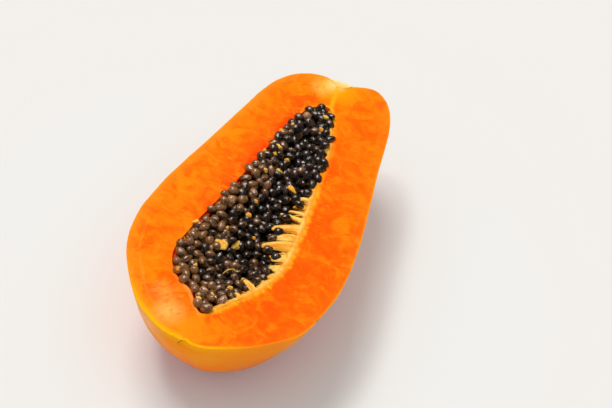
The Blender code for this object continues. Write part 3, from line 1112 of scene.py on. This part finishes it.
# %% [markdown]
# ## The seeds
#
# A papaya seed is egg-shaped, about 6 mm long, and sits in a clear, slippery skin that
# makes it shine. Hundreds are needed, so the one that is modelled has only a few dozen
# faces: a ball, drawn out and narrowed towards one end. The copies are laid out as if
# they had been poured. Places are drawn at random over the heap, pushed apart and pulled
# back to the heap's surface, in two layers. The heap has a few hollows. On the left it
# stands over the rim, and on the right it leaves the tongues bare, where a few lone seeds
# are caught between them.

# %% Model one seed
SEED_LENGTH = 7.9 * MM
SEED_WIDTH = 6.3 * MM
NARROW_END = 0.84


def model_seed():
    """An egg of length and width 2, its narrow end along +X."""
    bpy.ops.object.select_all(action="DESELECT")
    along_x = (0.0, math.pi / 2, 0.0)
    bpy.ops.mesh.primitive_uv_sphere_add(segments=10, ring_count=6, radius=1.0, rotation=along_x)
    egg = bpy.context.object
    bpy.ops.object.transform_apply(location=False, rotation=True, scale=False)
    edit_only(egg, "VERT", lambda vertex: vertex.co.x > 0.3)
    bpy.ops.transform.resize(value=(1.0, NARROW_END, NARROW_END), center_override=(0.0, 0.0, 0.0))
    bpy.ops.object.mode_set(mode="OBJECT")
    return egg


seed_points, seed_faces = take_form(model_seed())
print("a seed has", len(seed_faces), "faces")

# %% Height of the heap everywhere
GRID = 1.5 * MM
grid_x = np.arange(lining_low.x, lining_high.x + GRID, GRID)
grid_y = np.arange(lining_low.y, lining_high.y + GRID, GRID)
heap_map = np.array([[height_over(heap_tree, x, y, np.nan) for x in grid_x] for y in grid_y])
while np.isnan(heap_map).any():
    padded = np.pad(heap_map, 1, constant_values=np.nan)
    rows, columns = heap_map.shape
    around = np.array([padded[a:a + rows, b:b + columns] for a in (0, 1, 2) for b in (0, 1, 2)])
    known = ~np.isnan(around)
    mean = np.where(known, around, 0.0).sum(0) / np.maximum(known.sum(0), 1)
    heap_map = np.where(np.isnan(heap_map) & known.any(0), mean, heap_map)


def heap_heights(places):
    """The heap's height at each place, read between the points of the grid."""
    column = np.clip((places[:, 0] - grid_x[0]) / GRID, 0.0, len(grid_x) - 1.001)
    row = np.clip((places[:, 1] - grid_y[0]) / GRID, 0.0, len(grid_y) - 1.001)
    c = column.astype(int)
    r = row.astype(int)
    fc = column - c
    fr = row - r
    low = heap_map[r, c] * (1 - fc) + heap_map[r, c + 1] * fc
    high = heap_map[r + 1, c] * (1 - fc) + heap_map[r + 1, c + 1] * fc
    return low * (1 - fr) + high * fr


print("heap height from", round(heap_map.min() / MM, 1), "to", round(heap_map.max() / MM, 1), "mm")

# %% Shape the bed of the seeds
# The room that the seeds leave inside the rim, at shares of the cavity's length.
LEFT_ROOM_AT = (0.0, 0.14, 0.22)
LEFT_ROOM = (2.2, 1.7, 1.2)
RIGHT_ROOM_AT = (0.0, 0.06, 0.15, 0.30, 0.36, 0.46, 0.60, 0.68, 0.76, 0.81, 0.86, 1.0)
RIGHT_ROOM = (2.0, 4.0, 6.0, 7.0, 10.0, 10.0, 5.0, 1.6, 1.5, 4.5, 1.4, 1.3)
LEFT_LIFT = 4.2 * MM
LIFT_REACH = 14 * MM
RIGHT_LIFT = 2.6 * MM
RIGHT_LIFT_FROM = 0.60
TIP_LIFT = 1.5 * MM
TIP_LIFT_FROM = 0.84
# Each hollow in the heap: its place in the cavity, depth and radius.
HOLLOWS = (
    (0.52, 0.20, 7.0, 17), (0.30, 0.02, 7.0, 13), (0.64, -0.10, 5.0, 12), (0.84, 0.00, 4.0, 10),
    (0.40, 0.14, 5.0, 11), (0.74, 0.05, 4.0, 11), (0.47, -0.20, 3.0, 9), (0.16, -0.30, 2.5, 8),
)


def inside_rim(places):
    """Distance of each place to the cavity's rim, negative outside it, and the nearest rim point."""
    distance, foot = nearest_on(cavity_rim, places)
    left, right = sides_of(places)
    inner = (places[:, 0] > left) & (places[:, 0] < right)
    inner &= (places[:, 1] > lining_low.y) & (places[:, 1] < lining_high.y)
    return np.where(inner, distance, -distance), foot


def room_needed(places):
    """How far from the rim a seed's centre stays: further where the right wall is bare."""
    left, right = sides_of(places)
    rightness = climb((places[:, 0] - left) / np.maximum(right - left, MM), 0.25, 0.5)
    left_room = np.interp(along_of(places), LEFT_ROOM_AT, LEFT_ROOM)
    right_room = np.interp(along_of(places), RIGHT_ROOM_AT, RIGHT_ROOM)
    return (left_room + rightness * (right_room - left_room)) * MM


def hollow_depth(places):
    """How far the heap has sunk at each place."""
    depth = np.zeros(len(places))
    for along, across, deep, radius in HOLLOWS:
        x, y = in_cavity(along, across)
        away = np.hypot(places[:, 0] - x, places[:, 1] - y)
        depth = np.maximum(depth, deep * MM * bell(away, 0.0, radius * MM))
    return depth


def bed_heights(places):
    """The heap's height, lifted where the seeds stand over the rim: on the left and top right."""
    left, right = sides_of(places)
    along = along_of(places)
    lift = LEFT_LIFT * bell(places[:, 0], left, LIFT_REACH)
    upper = climb(along, RIGHT_LIFT_FROM, 0.10)
    lift = lift + RIGHT_LIFT * upper * bell(places[:, 0], right, LIFT_REACH)
    tip = climb(along, TIP_LIFT_FROM, 0.08)
    lift = np.minimum(lift, LEFT_LIFT) * (1.0 - tip) + TIP_LIFT * tip
    return heap_heights(places) + lift - hollow_depth(places)


print(len(HOLLOWS), "hollows in the heap")

# %% Lay the seeds out
TOP_SPACING = 5.5 * MM
LOWER_SPACING = 5.8 * MM
CROWDING = 0.87
SEED_CLEARANCE = 1.9 * MM
DEPTH_SPREAD = 1.4 * MM
PUSH_RANGE = 1.06
PUSH = 0.35
PUSH_UPWARDS = 0.4
PULL = 0.3


def scatter(spacing, margin, tries):
    """Random places inside the rim, none closer to another than the spacing."""
    x = draw.uniform(lining_low.x, lining_high.x, tries)
    y = draw.uniform(lining_low.y, lining_high.y, tries)
    drawn = np.column_stack([x, y])
    gap = inside_rim(drawn)[0]
    drawn = drawn[gap > room_needed(drawn) + margin]
    kept = []
    for place in drawn:
        if all((place[0] - x) ** 2 + (place[1] - y) ** 2 > spacing ** 2 for x, y in kept):
            kept.append(tuple(place))
    return np.array(kept)


def settle(flat_places, sink, spacing, margin, rounds):
    """Push the seeds apart and pull them to the heap, and return their centres."""
    places = np.column_stack([flat_places, np.zeros(len(flat_places))])
    drop = sink + draw.uniform(-1.0, 1.0, len(places)) * DEPTH_SPREAD
    places[:, 2] = bed_heights(places) - drop
    for turn in range(rounds):
        apart = places[:, None, :] - places[None, :, :]
        distance = np.linalg.norm(apart, axis=2) + np.eye(len(places))
        overlap = np.clip(spacing * PUSH_RANGE - distance, 0.0, None) * (distance < 1.0)
        push = (apart / distance[:, :, None] * overlap[:, :, None]).sum(axis=1) * PUSH
        push[:, 2] *= PUSH_UPWARDS
        places = places + push
        gap, foot = inside_rim(places)
        inward = foot - places[:, :2]
        inward = inward / np.maximum(np.linalg.norm(inward, axis=1), 1e-9)[:, None]
        lacking = np.clip(room_needed(places) + margin - gap, 0.0, None)
        sign = np.where(gap > 0.0, -1.0, 1.0)
        places[:, :2] += inward * (sign * lacking)[:, None]
        places[:, 2] += PULL * (bed_heights(places) - drop - places[:, 2])
    return places


def above_wall(places):
    """Lift the seeds that would sink into the lining."""
    wall = np.array([height_over(lining_tree, x, y, 0.0) for x, y, z in places])
    places[:, 2] = np.maximum(places[:, 2], np.minimum(wall, CUT - 2 * MM) + SEED_CLEARANCE)
    return places


# Seeds among the tongues and at the tip: place in the cavity and depth below the cut.
LONE_SEEDS = (
    (0.55, 0.70, 0.2), (0.61, 0.78, 0.4), (0.57, 0.55, 0.8), (0.48, 0.54, 0.8), (0.418, 0.54, 2.2),
    (0.39, 0.45, 3.2), (0.335, 0.50, 1.6), (0.322, 0.72, 2.0), (0.30, 0.58, 2.0), (0.25, 0.74, 1.0),
    (0.20, 0.76, 1.0), (0.22, 0.60, 1.4), (0.972, 0.18, 2.0), (0.952, 0.62, 1.6), (0.958, -0.50, 1.6),
    (0.945, 0.05, 1.0), (0.90, -0.35, 0.6),
)
# The upper seeds nearest to these places in the cavity never ripened.
PALE_SEEDS = (
    (0.93, -0.70), (0.58, -0.24), (0.07, 0.54), (0.46, -0.63), (0.25, 0.05),
    (0.39, 0.28), (0.52, -0.55), (0.12, -0.10), (0.69, 0.45), (0.66, -0.50),
)

lower = settle(scatter(LOWER_SPACING, 2.0 * MM, 7000), 5.0 * MM, LOWER_SPACING, 2.0 * MM, 20)
upper = above_wall(settle(scatter(CROWDING * TOP_SPACING, 0.0, 12000), 1.5 * MM, TOP_SPACING, 0.0, 40))
lone = np.array([(*in_cavity(along, across), CUT - deep * MM) for along, across, deep in LONE_SEEDS])
centres = np.vstack([lower, upper, lone])
is_pale = np.zeros(len(centres), bool)
for along, across in PALE_SEEDS:
    x, y = in_cavity(along, across)
    gap = np.hypot(upper[:, 0] - x, upper[:, 1] - y)
    is_pale[len(lower) + int(gap.argmin())] = True
print(len(lower), "seeds below,", len(upper), "on top,", len(lone), "caught in the fibres")

# %% [markdown]
# ## One seed and the next
#
# No two seeds are alike. Each gets a size, a turn and dents of its own, and the seeds are
# larger towards the stem. Their skins run from black to brown: brown on the cavity's left
# and at the blossom end, and painted black down in the hollows as painted shade. Painted
# light makes the upper side of each seed paler than its lower side, and ridges run along
# it, as streaks of colour. Both are stored for the paint, as `tone` and as `ridge`, a
# place on the seed with its length drawn in.

# %% Turn, size and join the seeds
LENGTH_RANGE = (0.84, 1.12)
WIDTH_RANGE = (0.88, 1.08)
THICKNESS_RANGE = (0.88, 1.0)
GROWTH = 0.09
NOSE_SPREAD = 0.45
TURN_SPREAD = 0.8
SEED_DENTS = 0.16
# Painted light: each seed is lighter on the side facing this way and darker below.
UPPER_SIDE = np.array((-0.15, 0.45, 0.88))
TOP_LIGHT_SHARE = 0.75
BROWN_SPREAD = 0.32
RIDGE_STRETCH = np.array((0.25, 1.0, 1.0))


def seed_shape(size, turn, number):
    """One seed's points about its own centre, each seed with dents of its own."""
    spin = Euler(turn).to_matrix()
    dents = 1.0 + SEED_DENTS * rough(seed_points, 0.9, 5.3 * number)
    shape = seed_points * dents[:, None] * np.array(size) * 0.5
    return shape @ np.array(spin).T


def brownness(across, along, sunk, luck):
    """0 for a black seed to 1 for a brown one, from its place in the cavity, darkened in the hollows as
    painted shade.
    """
    # Browner towards the left and the blossom end, where the right side is brown too.
    brown = 0.86 - 1.05 * across - 0.80 * (along - 0.25) + luck
    brown = max(brown, 0.72 - 3.0 * along)
    # A little browner again at the stem's tip, and black in the hollows, which is painted shade.
    brown = brown + 0.15 * climb(along, 0.78, 0.12) - 0.28 * sunk / MM
    return min(max(brown, 0.0), 1.0)


def join_seeds(name, picked):
    """One piece from the seeds with these numbers."""
    return join_copies(
        name, [shapes[number] for number in picked], seed_faces,
        tone=[tones[number] for number in picked], ridge=[ridges[number] for number in picked],
    )


left, right = sides_of(centres)
across_all = (centres[:, 0] - left) / (right - left)
along_all = along_of(centres)
sunk_all = hollow_depth(centres)
growth = 1.0 + GROWTH * climb(along_all, 0.5, 0.25)
shapes = []
tones = []
ridges = []
for number, centre in enumerate(centres):
    length = SEED_LENGTH * growth[number] * draw.uniform(*LENGTH_RANGE)
    width = SEED_WIDTH * growth[number] * draw.uniform(*WIDTH_RANGE)
    turn = (draw.uniform(0.0, math.tau), draw.normal(0.0, NOSE_SPREAD), draw.normal(0.0, TURN_SPREAD))
    thickness = width * draw.uniform(*THICKNESS_RANGE)
    shape = seed_shape((length, width, thickness), turn, number)
    luck = draw.normal(0.0, BROWN_SPREAD)
    brown = brownness(across_all[number], along_all[number], sunk_all[number], luck)
    # Painted light and shade: the stored tone rises on the upper side and falls on the underside.
    upward = shape @ UPPER_SIDE / (0.5 * width)
    shapes.append(shape + centre)
    tones.append(brown + TOP_LIGHT_SHARE * (0.25 + 0.75 * brown) * upward)
    ridges.append(seed_points * RIDGE_STRETCH * 0.5 * width + 7 * MM * number)
seeds = join_seeds("seeds", np.flatnonzero(~is_pale))
pale_seeds = join_seeds("pale_seeds", np.flatnonzero(is_pale))
for piece in (seeds, pale_seeds):
    shade_round(piece, 80.0)
    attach(piece, "root")
print((~is_pale).sum(), "dark seeds and", is_pale.sum(), "pale ones,", len(seeds.data.polygons), "faces")

# %% Paint the seeds


def paint_seeds(name, dark, light, glint_colour):
    """Wet seeds, mottled between two tones, with small lighter flecks on their lit sides that are
    painted highlights.
    """
    paint = Paint(
        name, dark, Specular_IOR_Level=1.0, IOR=1.6, Coat_Weight=0.35, Coat_IOR=1.6, Coat_Roughness=0.20,
    )
    tone = paint.attribute("tone")
    cloud = paint.noise(3.2, 3.0, 0.6)
    speck = paint.noise(1.2, 2.0, 0.6, paint.attribute("ridge", "Vector"))
    paint.cover((tone + (cloud - 0.5) * 0.8 + (speck - 0.5) * 2.8).step(0.0, 1.2), light)
    # Painted highlight: light flecks, mostly where the tone marks the lit upper side.
    paint.cover(speck.step(0.56, 0.70) * 0.30 * tone.step(0.1, 0.9), glint_colour)
    relief = cloud * 0.25 + paint.noise(1.9, 1.0, 0.4) * 0.45 + speck * 0.3
    return paint.lay(Normal=paint.bump(relief, 1.1), Roughness=0.22 + 0.18 * speck)


dress(seeds, paint_seeds("wet_seed", (19, 7, 5), (136, 86, 38), (192, 142, 84)))
dress(pale_seeds, paint_seeds("unripe_seed", (120, 72, 44), (182, 128, 84), (222, 172, 120)))
print("seeds painted")

# %% [markdown]
# ## The dark core of the heap
#
# Only the top two layers of seeds can be seen. Below them a dark core fills the cavity as
# painted shade: a copy of the CAD heap, drawn in, and sunk under the hollows, so that it
# stays hidden.

# %% Core
CORE_SINK = 6.0 * MM
CORE_SHARE = 0.88

core = working_copy("seed_mass", "seed_shade_core")
smooth(core, 1)
places = points(core)
middle = 0.5 * (places.min(0) + places.max(0))
places[:, :2] = middle[:2] + CORE_SHARE * (places[:, :2] - middle[:2])
height = places[:, 2] - places[:, 2].min()
places[:, 2] -= (CORE_SINK + hollow_depth(places)) * height / height.max()
move_points(core, places)
# Painted shade: a near-black surface for the shade deep inside the heap.
core_paint = Paint("seed_shadow", (10, 5, 4), Roughness=0.8, Specular_IOR_Level=0.2)
grain = core_paint.noise(4, 3.0)
core_paint.cover(grain.step(0.4, 0.65), (30, 14, 8))
dress(core, core_paint.lay(Normal=core_paint.bump(grain, 1)))
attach(core, "root")
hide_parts("seed_mass")
print("core:", len(core.data.polygons), "faces")

# %% [markdown]
# ## Scraps of pulp
#
# Bits of torn lining stick to the seeds and lie in the hollows between them, and one thin
# yellow thread winds over the lower part of the heap. A scrap is a ball, dented by noise
# and pressed flat, and the thread is the tongue's rod once more, much thinner. The larger
# scraps have places of their own, and the small ones fringe the rim on the left.

# %% Scraps and thread
# Each scrap: its place in the cavity, length and width.
SCRAPS = (
    (0.28, -0.33, 8.0, 6.0), (0.33, -0.14, 4.0, 6.5), (0.36, -0.45, 3.2, 2.6), (0.44, -0.27, 3.4, 3.0),
    (0.74, -0.69, 4.0, 2.8), (0.67, -0.28, 4.0, 3.0), (0.71, -0.68, 2.8, 2.4), (0.72, -0.25, 3.0, 2.4),
    (0.60, 0.34, 6.5, 2.6), (0.94, 0.42, 4.0, 2.4), (0.89, 0.40, 2.8, 2.4), (0.21, 0.45, 3.2, 2.6),
    (0.14, 0.51, 3.0, 2.4), (0.09, 0.24, 2.4, 2.0), (0.16, -0.45, 2.4, 2.0), (0.38, 0.09, 2.6, 2.2),
    (0.70, -0.97, 2.2, 1.8), (0.74, -0.95, 2.0, 2.6), (0.80, -0.96, 2.4, 1.8), (0.85, -0.80, 2.4, 2.0),
    (0.11, -0.90, 2.2, 2.0), (0.62, -0.55, 2.6, 2.2), (0.50, -0.30, 2.4, 2.0),
    (0.31, -0.97, 3.6, 2.4), (0.25, -0.99, 2.8, 2.2), (0.20, -0.98, 3.0, 2.0), (0.04, -0.60, 3.0, 2.2),
)
THREAD = ((0.20, 0.05), (0.21, 0.11), (0.22, 0.19), (0.21, 0.28), (0.22, 0.33))
THREAD_WIDTH = 1.0 * MM
SCRAP_SWELL = 1.2
SCRAP_THICK = 3.6
SCRAP_DENTS = 0.55

bpy.ops.object.select_all(action="DESELECT")
bpy.ops.mesh.primitive_ico_sphere_add(subdivisions=3, radius=0.5)
scrap_points, scrap_faces = take_form(bpy.context.object)
seed_tree = tree_of(seeds)


def heap_top(x, y, spread, choose=np.mean):
    """The mean, or the greatest, height of the seeds round a place."""
    return choose([height_over(seed_tree, x + a * spread, y + b * spread, CUT - 4 * MM)
                   for a, b in ((0, 0), (1, 0), (-1, 0), (0, 1), (0, -1))])


scrap_copies = []
scrap_strands = []
for number, (along, across, length, width) in enumerate(SCRAPS):
    x, y = in_cavity(along, across)
    dents = 1.0 + SCRAP_DENTS * rough(scrap_points, 0.55, 3.0 * number)
    size = np.array((SCRAP_SWELL * length, SCRAP_SWELL * width, SCRAP_THICK)) * MM
    shape = scrap_points * dents[:, None] * size
    spin = np.array(Matrix.Rotation(draw.uniform(-0.6, 0.6), 3, "Z"))
    centre = np.array((x, y, heap_top(x, y, 0.25 * length * MM) - 0.1 * MM))
    scrap_copies.append(shape @ spin.T + centre)
    scrap_strands.append(shape + number * 5 * MM)
scraps = join_copies("pulp_scraps", scrap_copies, scrap_faces, strand=scrap_strands)

way = []
for along, across in THREAD:
    x, y = in_cavity(along, across)
    way.append(Vector((x, y, heap_top(x, y, MM, max) + 0.5 * MM)))
bent, coords = bend_rod(way, THREAD_WIDTH, THREAD_WIDTH, 0.0)
thread = join_copies("pulp_thread", [bent], tongue_faces, strand=[coords])
smooth(thread, 1)
for piece in (scraps, thread):
    piece.data.materials.append(tongues.data.materials[0])
    shade_round(piece, 60.0)
    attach(piece, "root")
print(len(SCRAPS), "scraps,", len(scraps.data.polygons), "faces")

# %% [markdown]
# ## The stem end
#
# The stem was trimmed flush and cut in half with the fruit. It is dry, pale and fibrous.
# Its copy reaches a little further out than the flesh, and slims towards its sides.

# %% Stem
STEM_LIFT = 2.1 * MM
STEM_TILT = 0.09
STEM_TAPER = 0.7
STEM_OVERLAP = 0.35 * MM
STEM_GROOVES = 0.25 * MM

stem = working_copy("stem_base", "stem_end")
crease(stem, cut_edges(stem))
smooth(stem, 3)
places = points(stem)
normals = points(stem, "normal")
grooves = np.column_stack([places[:, 0], places[:, 1] * 0.15, places[:, 2]])
swell = STEM_OVERLAP + STEM_GROOVES * rough(grooves, 1.4 * MM, 2.0)
places = places + normals * swell[:, None]
sideways = places[:, 0] - STEM_X
slim = 1.0 - STEM_TAPER * np.minimum(np.abs(sideways) / (0.5 * (stem_high.x - stem_low.x)), 1.0) ** 2
top = stem_high.y + STEM_LIFT + STEM_TILT * sideways
places[:, 1] = top - (stem_high.y - places[:, 1]) * slim
move_points(stem, places)
stem_paint = Paint("trimmed_stem", (250, 228, 160), Roughness=0.65, Specular_IOR_Level=0.25)
lines = stem_paint.noise(0.9, 3.0, 0.6, stem_paint.place.scaled(1.0, 0.2, 1.0))
patch = stem_paint.noise(4, 2.0)
stem_paint.cover(patch.step(0.35, 0.65), (244, 214, 130))
stem_paint.cover(lines.step(0.55, 0.75) * 0.5, (224, 190, 116))
inner = (stem_paint.y + patch * 2 * MM).step(stem_high.y + 2 * MM, stem_high.y)
stem_paint.cover(inner * 0.9, (254, 196, 96))
dress(stem, stem_paint.lay(Normal=stem_paint.bump(lines, 0.3)))
shade_round(stem, 50.0)
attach(stem, "root")
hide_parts("stem_base")
print("stem:", len(stem.data.polygons), "faces")

# %% [markdown]
# ## Finish

# %% Finish
print("done")
